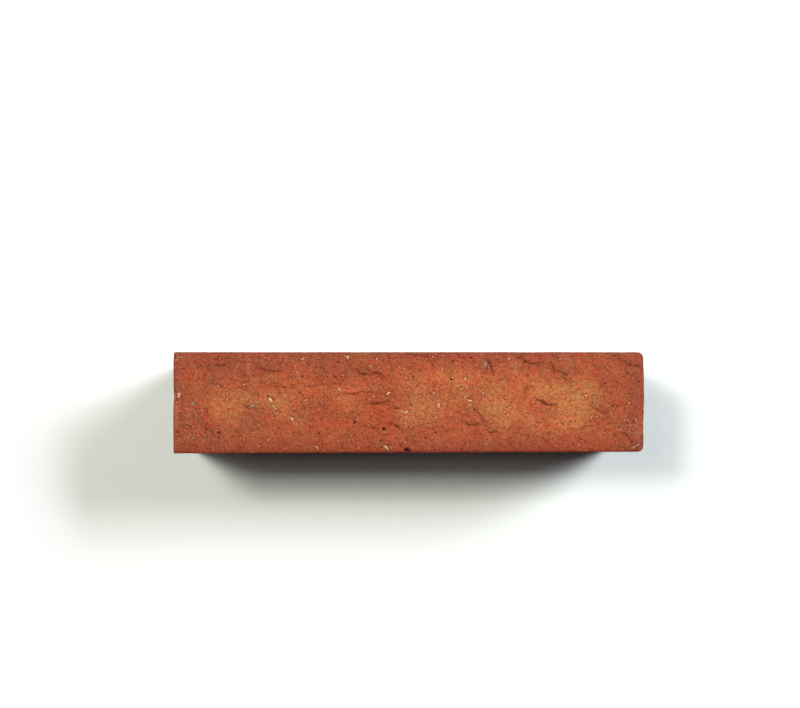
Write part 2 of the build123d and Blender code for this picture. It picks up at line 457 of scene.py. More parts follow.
def smooth_line(points: tuple[tuple[float, float], ...], steps: int = 6) -> np.ndarray:
    """Round a line through its points, as a Catmull-Rom curve.

    Args:
        points: The line's own points.
        steps: Pieces between two of them.

    Returns:
        The finer line's points, as rows.
    """
    given = np.array(points, float)
    padded = np.vstack([2 * given[0] - given[1], given, 2 * given[-1] - given[-2]])
    fine = []
    for before, start, end, after in zip(padded, padded[1:], padded[2:], padded[3:]):
        for t in np.arange(steps) / steps:
            fine.append(
                0.5 * (2 * start + (end - before) * t + (2 * before - 5 * start + 4 * end - after) * t**2
                       + (3 * start - before - 3 * end + after) * t**3)
            )
    return np.array([*fine, given[-1]])


def line_distance(points: np.ndarray, line: np.ndarray) -> tuple[np.ndarray, np.ndarray]:
    """Signed distance to a line, and the share of its length where it is nearest.

    Args:
        points: Places on the face, as rows of X and Y.
        line: The line's points, as rows.

    Returns:
        The distances, positive on the line's right, and the shares.
    """
    lengths = np.linalg.norm(np.diff(line, axis=0), axis=1)
    starts = np.concatenate([[0], np.cumsum(lengths)[:-1]])
    nearest = np.full(len(points), np.inf)
    signed = np.zeros(len(points))
    share = np.zeros(len(points))
    for a, b, length, start in zip(line, line[1:], lengths, starts):
        along = (b - a) / length
        offset = points - a
        t = np.clip(offset @ along, 0, length)
        gap = np.linalg.norm(offset - t[:, None] * along, axis=1)
        side = np.sign(offset[:, 0] * along[1] - offset[:, 1] * along[0])
        closer = gap < nearest
        nearest = np.where(closer, gap, nearest)
        signed = np.where(closer, gap * side, signed)
        share = np.where(closer, (start + t) / lengths.sum(), share)
    return signed, share


def spot_gap(points: np.ndarray, spot: Pit | Fleck, grow: float) -> tuple[np.ndarray, np.ndarray]:
    """Signed distance to the outline of a pit or a grain, where it is near.

    Args:
        points: Places on the face, as rows that start with X and Y.
        spot: The pit or the grain.
        grow: How much wider its outline is taken, all round.

    Returns:
        The near places' numbers and their distances, negative within the outline.
    """
    turn = math.radians(spot.angle)
    dx, dy = points[:, 0] - spot.x, points[:, 1] - spot.y
    near = np.nonzero(np.hypot(dx, dy) < spot.length / 2 + FAR)[0]
    half = np.array([spot.length, spot.width or spot.length]) / 2 + grow
    u = (dx[near] * math.cos(turn) + dy[near] * math.sin(turn)) / half[0]
    v = (dy[near] * math.cos(turn) - dx[near] * math.sin(turn)) / half[1]
    return near, (np.hypot(u, v) - 1) * half.mean()


def hollows(
    points: np.ndarray, spots: tuple[Pit | Fleck, ...], wall: tuple[float, float], grow: float = 0.0
) -> tuple[np.ndarray, np.ndarray]:
    """The hollows of some pits or grains.

    Args:
        points: Places on the face, as rows that start with X and Y.
        spots: The pits or grains.
        wall: Where their walls end below and start above, as distances from their outlines.
        grow: How much wider the outlines are taken, all round.

    Returns:
        For each place, the hollows' depth, and the signed distance to the nearest outline.
    """
    depth = np.zeros(len(points))
    outline = np.full(len(points), FAR)
    for spot in spots:
        near, gap = spot_gap(points, spot, grow)
        depth[near] = np.maximum(depth[near], spot.depth * fade(gap, *wall))
        outline[near] = np.minimum(outline[near], gap)
    return depth, outline


@dataclass
class TearField:
    """What the torn laps do: depth, painted shade of their floors, gap to the nearest crease, painted shade
    along it.
    """

    depth: np.ndarray
    shade: np.ndarray
    gap: np.ndarray
    cleft_shade: np.ndarray


@dataclass
class FairFace:
    """Relief and stains of the torn fair face, as functions of the place on it."""

    creases: tuple[Crease, ...] = CREASES
    pits: tuple[Pit, ...] = PITS
    flecks: tuple[Fleck, ...] = (*PALE_FLECKS, *GREY_FLECKS)
    level: float = 0.35
    swell: Waves = Waves(11.0, 1, 0.14)
    lumps: Waves = Waves(4.5, 2, 0.08)
    crumbs: Waves = Waves(2.2, 3, 0.06)
    chinks: Waves = Waves(1.8, 4, 0.3)
    least: float = 0.02
    wander: float = 0.5
    worn: Waves = Waves(2.6, 25, 0.6)
    nibbled: Waves = Waves(1.2, 26, 0.5)
    intact: float = 0.8
    intact_range: tuple[float, float] = (0.15, 1.3)
    deepened: float = 1.3
    crack: float = 0.5
    lip: float = 0.32
    floor_curve: float = 1.7
    roll: float = 0.12
    roll_place: float = 1.3
    roll_width: float = 0.7
    roll_above: float = 0.15
    shade_start: float = 0.2
    shade_reach: float = 0.75
    shade_share: float = 0.5
    cleft_shade_reach: tuple[float, float] = (0.6, 1.0)
    small_tears: int = 270
    tear_area: tuple[float, float] = (117, 24)
    tear_turn: float = 0.6
    tear_half: tuple[float, float] = (0.8, 2.6)
    tear_bow: tuple[float, float] = (-0.5, 0.9)
    tear_depth: tuple[float, float] = (0.1, 0.46)
    tear_run_out: tuple[float, float] = (1.2, 3.8)
    pit_wall: tuple[float, float] = (-0.4, 0.15)
    pit_grow: float = 0.17
    socket_wall: tuple[float, float] = (0.1, 0.6)
    stain_edge: float = 1.3
    stain_fall: float = 0.8
    seed: int = 11

    def relief(self, points: np.ndarray) -> np.ndarray:
        """Whole depth of the torn face below the CAD face."""
        swell = self.swell.at(points) + self.lumps.at(points)
        crumb = self.crumbs.at(points) - np.abs(self.chinks.at(points))
        torn = self.tears(points).depth + self.pores(points)[0] + self.sockets(points)[0]
        return np.clip(self.level + swell + crumb + torn, self.least, None)

    def warped(self, points: np.ndarray) -> np.ndarray:
        """Places on the face, shifted a little so that drawn shapes get ragged outlines."""
        shift = sideways(points, 3.0, (21, 22)) + sideways(points, 1.2, (23, 24), 0.8)
        return points[:, :2] + shift * self.wander

    def tears(self, points: np.ndarray) -> TearField:
        """The torn laps.

        Args:
            points: Places in millimetres, as rows.

        Returns:
            The laps' field at these places.
        """
        flat = self.warped(points)
        count = len(points)
        found = TearField(np.zeros(count), np.zeros(count), np.full(count, FAR), np.zeros(count))
        raised = np.zeros(count)
        broken = np.clip(self.intact + self.worn.at(points) + self.nibbled.at(points), *self.intact_range)
        for crease in (*self.creases, *self.scattered_tears()):
            line = smooth_line(crease.line)
            margin = crease.run_out + FAR
            inside = (flat > line.min(0) - margin) & (flat < line.max(0) + margin)
            near = np.nonzero(np.all(inside, axis=1))[0]
            distance, share = line_distance(flat[near], line)
            along = np.clip(1 - (np.abs(share - 0.5) * 2) ** 5, 0, 1) * broken[near]
            if crease.cut is Cut.CRACK:
                profile = bell(distance, self.crack) * along
                shade = np.zeros(len(near))
            else:
                distance *= crease.cut.value
                behind = np.exp(-np.abs(distance) / self.lip)
                ahead = np.clip(1 - distance / crease.run_out, 0, 1) ** self.floor_curve
                profile = np.where(distance < 0, behind, ahead) * along
                brow = bell(distance + self.roll_place, self.roll_width) * along
                raised[near] = np.maximum(raised[near], self.roll * brow)
                # Painted shade on the torn floor next to its step, fading as the floor runs out
                floor = np.exp(-np.abs(distance - self.shade_start) / self.shade_reach)
                shade = floor * (distance > -self.shade_start) * along
            found.depth[near] = np.maximum(found.depth[near], self.deepened * crease.depth * profile)
            strength = min(1.0, 0.15 + 1.1 * crease.depth)
            found.shade[near] = np.maximum(found.shade[near], self.shade_share * strength * shade)
            # The nearest crease sets the painted shade along its line
            closer = np.abs(distance) < np.abs(found.gap[near])
            here = near[closer]
            found.gap[here] = distance[closer]
            found.cleft_shade[here] = strength * along[closer]
        found.cleft_shade *= fade(np.abs(found.gap), *self.cleft_shade_reach)
        found.depth -= raised * (found.depth < self.roll_above)
        return found

    def scattered_tears(self) -> list[Crease]:
        """Small shallow tears between the large ones, at seeded places."""
        rng = np.random.default_rng(self.seed)
        bends = ((-1, 1), (0, 0), (1, 1))
        tears = []
        for _ in range(self.small_tears):
            middle = np.array([rng.uniform(-reach, reach) for reach in self.tear_area])
            heading = rng.normal(0, self.tear_turn)
            half = rng.uniform(*self.tear_half)
            bow = rng.uniform(*self.tear_bow)
            along = np.array([math.cos(heading), math.sin(heading)])
            across = np.array([-along[1], along[0]])
            line = tuple(tuple(middle + u * half * along + v * bow * across) for u, v in bends)
            tears.append(Crease(line, rng.uniform(*self.tear_depth), rng.uniform(*self.tear_run_out)))
        return tears

    def pores(self, points: np.ndarray) -> tuple[np.ndarray, np.ndarray]:
        """The open pores: their depth, and the signed distance to the nearest one's outline."""
        return hollows(self.warped(points), self.pits, self.pit_wall, self.pit_grow)

    def sockets(self, points: np.ndarray) -> tuple[np.ndarray, np.ndarray]:
        """The hollows that the grains sit in: their depth, and the signed distance to the nearest outline."""
        return hollows(points, self.flecks, self.socket_wall)

    def stain(self, tint: Tint, points: np.ndarray) -> np.ndarray:
        """Strength of one tint at each place, from 0 to 1."""
        flat = points[:, :2] + sideways(points, 6.0, (31, 32), 3.0)
        bare = np.ones(len(points))
        for stain in STAINS[tint]:
            u = (flat[:, 0] - stain.x) / stain.reach_x
            v = (flat[:, 1] - stain.y) / stain.reach_y
            spread = (u * u + v * v) ** self.stain_edge
            bare *= 1 - stain.strength * np.exp(-spread * self.stain_fall)
        return 1 - bare


@dataclass
class PlainFaces:
    """Relief of the five faces that aren't torn: drag lines, dents and seeded pores."""

    pore_counts: dict[str, int] = field(
        default_factory=lambda: {"upper": 170, "lower": 170, "cut": 34, "crowned": 20, "back": 20}
    )
    clustered: float = 0.55
    spread: float = 6.0
    smallest: float = 0.4
    sizes: tuple[float, float] = (1.4, 0.26)
    largest: float = 1.7
    sinks: tuple[float, float] = (0.7, 1.3)
    dents: tuple[Dent, ...] = DENTS
    level: float = 0.06
    back_level: float = 0.03
    sway: Waves = Waves(14.0, 42, 0.06)
    bed_drag: Waves = Waves(1.6, 41, 0.05, (1.0, 1.0, 22.0))
    end_drag: Waves = Waves(1.6, 41, 0.05, (14.0, 1.0, 14.0))
    grain: Waves = Waves(2.2, 43, 0.02)
    seed: int = 5

    def pores(self, face: str, box: BrickBox) -> list[tuple[np.ndarray, float, float]]:
        """Seeded open pores of one face.

        Args:
            face: The face's name.
            box: The brick's box.

        Returns:
            Each pore's middle, radius and depth.
        """
        rng = np.random.default_rng([self.seed, *face.encode()])
        outward = np.array(OUTWARD[face])
        found = []
        place = rng.uniform(box.low, box.high)
        for _ in range(self.pore_counts[face]):
            if rng.random() < self.clustered:
                place = np.clip(place + rng.normal(0, self.spread, 3), box.low, box.high)
            else:
                place = rng.uniform(box.low, box.high)
            place = np.where(outward > 0, box.high, np.where(outward < 0, box.low, place))
            radius = self.smallest + rng.gamma(*self.sizes)
            found.append((place, min(radius, self.largest), rng.uniform(*self.sinks)))
        return found

    def relief(
        self, face: str, points: np.ndarray, box: BrickBox
    ) -> tuple[np.ndarray, np.ndarray, np.ndarray]:
        """Relief of one face.

        Args:
            face: The face's name.
            points: Places in millimetres, as rows.
            box: The brick's box.

        Returns:
            For each place, the depth without the pores, the pores' depth, and the distance to their outlines.
        """
        drag = self.bed_drag if face in ("upper", "lower") else self.end_drag
        depth = self.level + self.sway.at(points) + drag.at(points) + self.grain.at(points)
        if face == "back":
            depth = self.back_level + self.grain.at(points)
        for dent in self.dents:
            if dent.face == face:
                far = np.linalg.norm((points - np.array(dent.place)) / np.array(dent.reach), axis=1)
                depth = depth + dent.depth * fade(far, 0, 1)
        holes = np.zeros(len(points))
        outline = np.full(len(points), FAR)
        for place, radius, sink in self.pores(face, box):
            near = np.all(np.abs(points - place) < radius + FAR, axis=1)
            gap = np.linalg.norm(points[near] - place, axis=1) - radius
            bowl = np.clip(1.2 - (1 + gap / radius) ** 3, 0, 1)
            holes[near] = np.maximum(holes[near], sink * radius * bowl)
            outline[near] = np.minimum(outline[near], gap)
        return np.clip(depth, 0, None), holes, outline


@dataclass
class ClayBody:
    """The brick itself: the CAD solid, resampled and worked over with the relief of each face."""

    voxel: float = 0.45
    quick_voxel: float = 1.0
    triangles: int = 190_000
    reach: float = 5.0
    fine_depth: float = 2.5
    chips: Waves = Waves(5.0, 51)
    nibbles: Waves = Waves(1.8, 52)
    chip_from: float = 0.3
    chip_size: float = 0.6
    nibble_size: float = 0.12
    worn_reach: tuple[float, float] = (0.3, 2.2)
    fair: FairFace = field(default_factory=FairFace)
    plain: PlainFaces = field(default_factory=PlainFaces)

    def build(self, node: bpy.types.Object) -> bpy.types.Object:
        """Make the brick.

        Args:
            node: The CAD node that it stands for.

        Returns:
            The finished object.
        """
        shell = bmesh.new()
        shell.from_mesh(node.data)
        bmesh.ops.remove_doubles(shell, verts=shell.verts, dist=0.002 * MM)
        bmesh.ops.recalc_face_normals(shell, faces=shell.faces)
        brick = add_mesh("brick_body", shell)

        box = BrickBox.of(node.name)
        remesh = brick.modifiers.new("voxels", "REMESH")
        remesh.mode = "VOXEL"
        remesh.voxel_size = self.voxel * MM
        self.bake(brick)
        self.carve(brick, box)
        self.thin(brick)
        self.paint(brick, box)
        return brick

    def bake(self, brick: bpy.types.Object) -> None:
        """Turn the object's modifiers into its mesh."""
        graph = bpy.context.evaluated_depsgraph_get()
        baked = bpy.data.meshes.new_from_object(brick.evaluated_get(graph))
        brick.modifiers.clear()
        brick.data = baked

    def places(self, brick: bpy.types.Object) -> np.ndarray:
        """The mesh's points in millimetres, as rows."""
        flat = np.empty(len(brick.data.vertices) * 3, np.float32)
        brick.data.vertices.foreach_get("co", flat)
        return flat.reshape(-1, 3).astype(float) / MM

    def carve(self, brick: bpy.types.Object, box: BrickBox) -> None:
        """Push each point in, off every face that it is near, by that face's relief."""
        points = self.places(brick)
        depths = box.depths(points)
        moved = points.copy()
        for face, behind in depths.items():
            weight = fade(behind, 1.0, self.reach)
            near = weight > 0
            if face == "fair":
                inward = self.fair.relief(points[near])
            else:
                inward = sum(self.plain.relief(face, points[near], box)[:2])
            moved[near] -= np.array(OUTWARD[face]) * (inward * weight[near])[:, None]
        moved = self.wear_edges(moved, depths)
        brick.data.vertices.foreach_set("co", (moved * MM).astype(np.float32).ravel())
        brick.data.update()

    def wear_edges(self, points: np.ndarray, depths: dict[str, np.ndarray]) -> np.ndarray:
        """Crumble the edges of the fair face, and the back face's a little less.

        Args:
            points: The points so far, as rows.
            depths: Their distances behind each face.

        Returns:
            The worn points.
        """
        worn = points.copy()
        chips = np.clip(self.chips.at(points) - self.chip_from, 0, 1) * self.chip_size
        bite = chips + np.clip(self.nibbles.at(points), 0, 1) * self.nibble_size
        for face in RIMS:
            for cap, share in {"fair": 1.0, "back": 0.6}.items():
                gap = np.hypot(depths[face], depths[cap])
                amount = bite * fade(gap, *self.worn_reach) * share
                toward = np.array(OUTWARD[face], float) + np.array(OUTWARD[cap], float) * (cap == "fair")
                worn -= amount[:, None] * toward / math.sqrt(2)
        return worn

    def thin(self, brick: bpy.types.Object) -> None:
        """Collapse the mesh to its triangle budget, with most of it kept on the fair face."""
        points = self.places(brick)
        group = brick.vertex_groups.new(name="coarse")
        top = points[:, 2].max()
        for index in np.nonzero(points[:, 2] < top - self.fine_depth)[0].tolist():
            group.add([index], 1.0, "REPLACE")
        brick.data.calc_loop_triangles()
        collapse = brick.modifiers.new("thin", "DECIMATE")
        collapse.ratio = min(1.0, self.triangles / len(brick.data.loop_triangles))
        collapse.vertex_group = group.name
        collapse.vertex_group_factor = 1.0
        collapse.use_collapse_triangulate = True
        self.bake(brick)
        brick.vertex_groups.clear()
        brick.data.shade_smooth()

    def paint(self, brick: bpy.types.Object, box: BrickBox) -> None:
        """Write the stains and the masks of painted shade in hollows, creases and pores and along edges to
        the mesh, for the clay's finish.
        """
        points = self.places(brick)
        depths = box.depths(points)
        below = depths["fair"]
        on_fair = fade(below, 1.5, 3.0)
        torn = self.fair.tears(points)
        pit, pore = self.fair.pores(points)
        pore = np.where(below < 4, pore, FAR)
        for face, behind in depths.items():
            if face != "fair":
                near = np.nonzero(behind < 2.5)[0]
                _, holes, outline = self.plain.relief(face, points[near], box)
                pit[near] = np.maximum(pit[near], holes)
                pore[near] = np.minimum(pore[near], outline)
        edge = np.minimum.reduce([depths[face] for face in RIMS])
        rims = {face: share * fade(depths[face], 0.5, wide) for face, (wide, share) in RIMS.items()}
        hem = rims.pop("lower")
        stained = fade(below, 4, 18)
        masks = {tint.value: self.fair.stain(tint, points) * stained for tint in Tint}
        masks |= {
            # Painted shade on the torn floors
            "tear_floor_shade": torn.shade * on_fair,
            "gap": torn.gap,
            # Painted shade along the crease lines
            "cleft_shade": torn.cleft_shade * fade(below, 3.0, 4.0),
            # Distance to the grains' sockets, round which a ring of painted shade is drawn
            "socket": np.where(below < 3, self.fair.sockets(points)[1], FAR),
            # Depth and outline of the pores, which get painted shade inside
            "pit": pit,
            "pore": pore,
            "side": smooth_step(below, 1.2, 5.0),
            "bed": fade(np.minimum(depths["upper"], depths["lower"]), 1.5, 3.0),
            "hem": hem,
            "rim": np.maximum.reduce(list(rims.values())),
            # Painted shade along the arrises, strongest along the lower edge, which faces away from the lamps
            "arris_shade": np.maximum(
                0.4 * fade(np.hypot(edge, below), 0.4, 1.3), fade(depths["lower"], 0.4, 1.9) * on_fair
            ),
        }
        for name, values in masks.items():
            attribute = brick.data.attributes.new(name, "FLOAT", "POINT")
            attribute.data.foreach_set("value", values.astype(np.float32))


@dataclass
class Grit:
    """Hard grains set in the clay, all of one kind, as one mesh of small shards."""

    name: str
    flecks: tuple[Fleck, ...]
    scattered: int
    size: tuple[float, float]
    proud: float
    seed: int
    swarms: tuple[Swarm, ...]
    pieces: int = 4
    tallest: float = 0.32
    tall_share: float = 0.4
    levelled: float = 0.6
    finer_from: float = 0.9
    rough: tuple[float, float] = (0.62, 1.25)
    fair_share: float = 1.6
    inset: float = 1.5
    clear: float = 3.0

    def build(self, brick: bpy.types.Object, box: BrickBox) -> bpy.types.Object:
        """Make the grains.

        Args:
            brick: The clay that they are set in.
            box: The brick's box.

        Returns:
            The finished object.
        """
        rng = np.random.default_rng(self.seed)
        surface = BVHTree.FromObject(brick, bpy.context.evaluated_depsgraph_get())
        shards = bmesh.new()
        shade = shards.verts.layers.float.new("shade")
        gathered = [self.loose(rng, swarm) for swarm in self.swarms for _ in range(swarm.count)]
        for fleck in (*(part for given in self.flecks for part in self.broken(given, rng)), *gathered):
            start = Vector((fleck.x, fleck.y, box.high[2] + 5)) * MM
            self.shard(shards, shade, surface, start, Vector((0, 0, -1)), fleck, rng)
        for _ in range(self.scattered):
            start, aim = self.seeded_spot(box, rng)
            self.shard(shards, shade, surface, start, aim, self.loose(rng), rng)
        return add_mesh(self.name, shards)

    def loose(self, rng: np.random.Generator, swarm: Swarm = Swarm(0, 0, 0, 0, 1)) -> Fleck:
        """A small seeded grain, within a swarm if one is given."""
        x, y = rng.normal((swarm.x, swarm.y), (swarm.reach_x / 2, swarm.reach_y / 2))
        long = rng.uniform(*self.size)
        return Fleck(x, y, long, long * rng.uniform(0.4, 1.0), rng.uniform(0, 180), rng.uniform(0, 0.5))

    def broken(self, fleck: Fleck, rng: np.random.Generator) -> list[Fleck]:
        """The slim shards that a placed grain is broken into, each a little off its middle and its tone."""
        turn = math.radians(fleck.angle)
        width = fleck.width or fleck.length
        swing = 30 if fleck.width else 90
        shards = []
        for _ in range(self.pieces):
            u, v = rng.uniform(-0.32, 0.32, 2) * (fleck.length, width)
            x = fleck.x + u * math.cos(turn) - v * math.sin(turn)
            y = fleck.y + u * math.sin(turn) + v * math.cos(turn)
            slim = width * rng.uniform(0.35, 0.7)
            angle = fleck.angle + rng.uniform(-swing, swing)
            tone = fleck.tone + rng.uniform(-0.25, 0.2)
            shards.append(Fleck(x, y, fleck.length * rng.uniform(0.5, 0.95), slim, angle, tone))
        return shards

    def seeded_spot(self, box: BrickBox, rng: np.random.Generator) -> tuple[Vector, Vector]:
        """A seeded point off a face that shows, and the way towards it."""
        long, thick, wide = box.high - box.low
        areas = {"fair": long * thick * self.fair_share, "upper": long * wide, "lower": long * wide,
                 "cut": thick * wide, "crowned": thick * wide}
        total = sum(areas.values())
        face = rng.choice(list(areas), p=[area / total for area in areas.values()])
        outward = np.array(OUTWARD[face], float)
        place = rng.uniform(box.low + self.inset, box.high - self.inset)
        low, high = box.low - self.clear, box.high + self.clear
        place = np.where(outward > 0, high, np.where(outward < 0, low, place))
        return Vector(place) * MM, Vector(-outward)

    def shard(
        self,
        shards: bmesh.types.BMesh,
        shade: bmesh.types.BMLayerItem,
        surface: BVHTree,
        start: Vector,
        aim: Vector,
        fleck: Fleck,
        rng: np.random.Generator,
    ) -> None:
        """Add one grain, sunk in the clay where a ray meets it.

        Args:
            shards: The mesh that takes it.
            shade: The layer that holds each grain's own shade.
            surface: The clay's surface.
            start: Where the ray starts.
            aim: The ray's direction.
            fleck: The grain's length, width and angle.
            rng: The source of its uneven shape.
        """
        hit, normal, _, _ = surface.ray_cast(start, aim)
        if hit is None:
            return
        width = fleck.width or fleck.length
        tall = min(self.tallest, min(fleck.length, width) * self.tall_share)
        facing = normal.lerp(-aim, self.levelled).normalized()
        upright = facing.to_track_quat("Z", "Y").to_matrix().to_4x4()
        if abs(aim.z) > 0.5:
            upright = Vector((0, 0, 1)).rotation_difference(facing).to_matrix().to_4x4()
        turn = Matrix.Rotation(math.radians(fleck.angle), 4, "Z")
        scale = Matrix.Diagonal((fleck.length / 2 * MM, width / 2 * MM, tall * MM, 1))
        middle = hit + facing * (self.proud - 1) * tall * MM
        place = Matrix.Translation(middle) @ upright @ turn @ scale
        finer = fleck.length > self.finer_from
        made = bmesh.ops.create_icosphere(shards, subdivisions=1 + finer, radius=1.0, matrix=place)
        for vert in made["verts"]:
            vert[shade] = fleck.tone
            vert.co = middle + (vert.co - middle) * rng.uniform(*self.rough)


class Bench:
    """Lays out shader nodes on one tree and links them."""

    def __init__(self, tree: bpy.types.NodeTree) -> None:
        """Start on an empty tree."""
        self.tree = tree
        tree.nodes.clear()

    def node(
        self, kind: str, fed: dict[int | str, object] | None = None, **settings: object
    ) -> bpy.types.Node:
        """Add a node.

        Args:
            kind: The node's type.
            fed: What each of its inputs is linked to or set to.
            settings: Its other settings.

        Returns:
            The node.
        """
        made = self.tree.nodes.new(kind)
        row, column = divmod(len(self.tree.nodes), 12)
        made.location = (220 * column, -260 * row)
        for name, value in settings.items():
            setattr(made, name, value)
        for socket, value in (fed or {}).items():
            self.feed(made.inputs[socket], value)
        return made

    def feed(self, socket: bpy.types.NodeSocket, value: object) -> None:
        """Link a socket to another, or set its value."""
        if isinstance(value, bpy.types.NodeSocket):
            self.tree.links.new(value, socket)
        else:
            socket.default_value = value

    def math(self, operation: str, *values: object, clamp: bool = False) -> bpy.types.NodeSocket:
        """Result of a math node."""
        fed = dict(enumerate(values))
        return self.node("ShaderNodeMath", fed, operation=operation, use_clamp=clamp).outputs[0]

    def times(self, first: object, second: object) -> bpy.types.NodeSocket:
        """Product of two values, held between 0 and 1."""
        return self.math("MULTIPLY", first, second, clamp=True)

    def ease(
        self, value: object, low: float, high: float, start: float = 0.0, end: float = 1.0
    ) -> bpy.types.NodeSocket:
        """Smooth step of a value from low to high, onto start to end."""
        fed = dict(enumerate((value, low, high, start, end)))
        return self.node("ShaderNodeMapRange", fed, interpolation_type="SMOOTHSTEP").outputs[0]

    def mix(self, factor: object, first: object, second: object, blend: str = "MIX") -> bpy.types.NodeSocket:
        """Blend of two colours."""
        fed = {"Factor": factor, 6: first, 7: second}
        return self.node("ShaderNodeMix", fed, data_type="RGBA", blend_type=blend).outputs[2]

    def tinge(self, factor: object, colour: object, share: object, tinges: tuple) -> bpy.types.NodeSocket:
        """A colour times the first tinge where the share is 0, and the second where it is 1."""
        low, high = ((*tinge, 1.0) for tinge in tinges)
        return self.mix(factor, colour, self.mix(share, low, high), "MULTIPLY")

    def noise(self, vector: object, per_mm: object, detail: float, rough: float) -> bpy.types.NodeSocket:
        """Noise of so many waves a millimetre, from 0 to 1."""
        fed = {"Vector": vector, "Scale": per_mm, "Detail": detail, "Roughness": rough}
        return self.node("ShaderNodeTexNoise", fed).outputs["Fac"]

    def stretched(self, vector: object, scale: tuple[float, float, float]) -> bpy.types.NodeSocket:
        """The place, stretched by these factors."""
        return self.node("ShaderNodeMapping", {"Vector": vector, "Scale": scale}).outputs["Vector"]

    def attribute(self, name: str) -> bpy.types.NodeSocket:
        """Value of a mesh attribute."""
        return self.node("ShaderNodeAttribute", attribute_name=name).outputs["Fac"]

    def place(self) -> bpy.types.NodeSocket:
        """Place on the object, in millimetres."""
        return self.stretched(self.node("ShaderNodeTexCoord").outputs["Object"], (1 / MM, 1 / MM, 1 / MM))

    def bumped(self, height: object, distance: float, strength: float = 1.0) -> bpy.types.NodeSocket:
        """Normal of a surface with this relief, of so many millimetres."""
        fed = {"Strength": strength, "Distance": distance * MM, "Height": height}
        return self.node("ShaderNodeBump", fed).outputs["Normal"]

    def cover(self, colour: object, normal: object, roughness: float, shine: float = 0.5) -> None:
        """End the tree in a surface of this colour, relief, roughness and reflection."""
        fed = {"Base Color": colour, "Normal": normal, "Roughness": roughness, "Specular IOR Level": shine}
        self.finish(self.node("ShaderNodeBsdfPrincipled", fed).outputs["BSDF"])

    def finish(self, shader: bpy.types.NodeSocket, kind: str = "ShaderNodeOutputMaterial") -> None:
        """End the tree in this shader."""
        self.node(kind, {"Surface": shader})


def srgb(red: int, green: int, blue: int) -> tuple[float, float, float, float]:
    """A colour as it looks on a screen, from 0 to 255, in the renderer's linear terms."""
    parts = [value / 255 for value in (red, green, blue)]
    return (*(v / 12.92 if v <= 0.04045 else ((v + 0.055) / 1.055) ** 2.4 for v in parts), 1.0)


def new_material(name: str) -> tuple[bpy.types.Material, Bench]:
    """A material and the bench for its nodes."""
    made = bpy.data.materials.new(name)
    made.use_nodes = True
    return made, Bench(made.node_tree)


class Effect:
    """A node group with named sockets, which materials share."""

    def __init__(self, name: str, inputs: dict[str, float | None], outputs: tuple[str, ...]) -> None:
        """Make the group without nodes.

        Args:
            name: The group's name.
            inputs: Each input's first value, or None for a place.
            outputs: The names of its values.
        """
        self.group = bpy.data.node_groups.new(name, "ShaderNodeTree")
        for label, value in inputs.items():
            kind = "NodeSocketVector" if value is None else "NodeSocketFloat"
            socket = self.group.interface.new_socket(label, in_out="INPUT", socket_type=kind)
            if value is not None:
                socket.default_value = value
        for label in outputs:
            self.group.interface.new_socket(label, in_out="OUTPUT", socket_type="NodeSocketFloat")
        self.bench = Bench(self.group)
        self.given = self.bench.node("NodeGroupInput").outputs
        self.put = self.bench.node("NodeGroupOutput").inputs

    def lay(self, bench: Bench, *values: object) -> bpy.types.Node:
        """Place the group on a material's bench, with its inputs in order."""
        return bench.node("ShaderNodeGroup", dict(enumerate(values)), node_tree=self.group)


class FiredGrain(Effect):
    """The fine grain of fired clay, which every material here uses."""

    def __init__(self) -> None:
        """Build the group."""
        super().__init__("fired_grain", {"Place": None, "Per mm": 1.0}, ("Tone", "Height"))
        bench = self.bench
        place, rate = self.given["Place"], self.given["Per mm"]
        coarse = bench.noise(place, rate, 3.0, 0.65)
        fine = bench.noise(place, bench.math("MULTIPLY", rate, 2.7), 2.0, 0.6)
        blend = bench.math("ADD", bench.math("MULTIPLY", coarse, 0.4), bench.math("MULTIPLY", fine, 0.6))
        crumbs = bench.node("ShaderNodeTexVoronoi", {"Vector": place, "Scale": rate}, feature="F1")
        bench.feed(self.put["Tone"], bench.ease(blend, 0.32, 0.68))
        bench.feed(self.put["Height"], bench.math("MULTIPLY_ADD", crumbs.outputs["Distance"], -0.4, blend))


class Specks(Effect):
    """Scattered specks: cells with a dot in some of them."""

    def __init__(self) -> None:
        """Build the group."""
        super().__init__("specks", {"Place": None, "Per mm": 0.5, "Radius": 0.3, "Share": 0.3}, ("Mask",))
        bench, given = self.bench, self.given
        place, rate = given["Place"], given["Per mm"]
        finer = bench.math("MULTIPLY", rate, 2.0)
        ruffle = bench.node("ShaderNodeTexNoise", {"Vector": place, "Scale": finer}).outputs["Color"]
        fed = {0: ruffle, 1: bench.math("DIVIDE", 0.7, rate), 2: place}
        shifted = bench.node("ShaderNodeVectorMath", fed, operation="MULTIPLY_ADD").outputs[0]
        cells = bench.node("ShaderNodeTexVoronoi", {"Vector": shifted, "Scale": rate}, feature="F1")
        red, green, _ = bench.node("ShaderNodeSeparateColor", {0: cells.outputs["Color"]}).outputs
        size = bench.math("MULTIPLY", given["Radius"], bench.ease(green, 0.0, 1.0, 0.45, 1.0))
        filled = bench.math("DIVIDE", cells.outputs["Distance"], size)
        dot = bench.math("SUBTRACT", 1.0, filled, clamp=True)
        chosen = bench.math("LESS_THAN", red, given["Share"])
        bench.feed(self.put["Mask"], bench.math("MULTIPLY", bench.ease(dot, 0.0, 0.45), chosen))


@dataclass(frozen=True)
class Pattern:
    """Noise of so many waves a millimetre, eased from low to high onto start to end."""

    per_mm: float
    detail: float
    rough: float
    low: float
    high: float
    start: float = 0.0
    end: float = 1.0
    stretch: tuple[float, float, float] | None = None

    def lay(self, bench: Bench, place: object) -> bpy.types.NodeSocket:
        """Add the pattern to a material."""
        if self.stretch:
            place = bench.stretched(place, self.stretch)
        noise = bench.noise(place, self.per_mm, self.detail, self.rough)
        return bench.ease(noise, self.low, self.high, self.start, self.end)


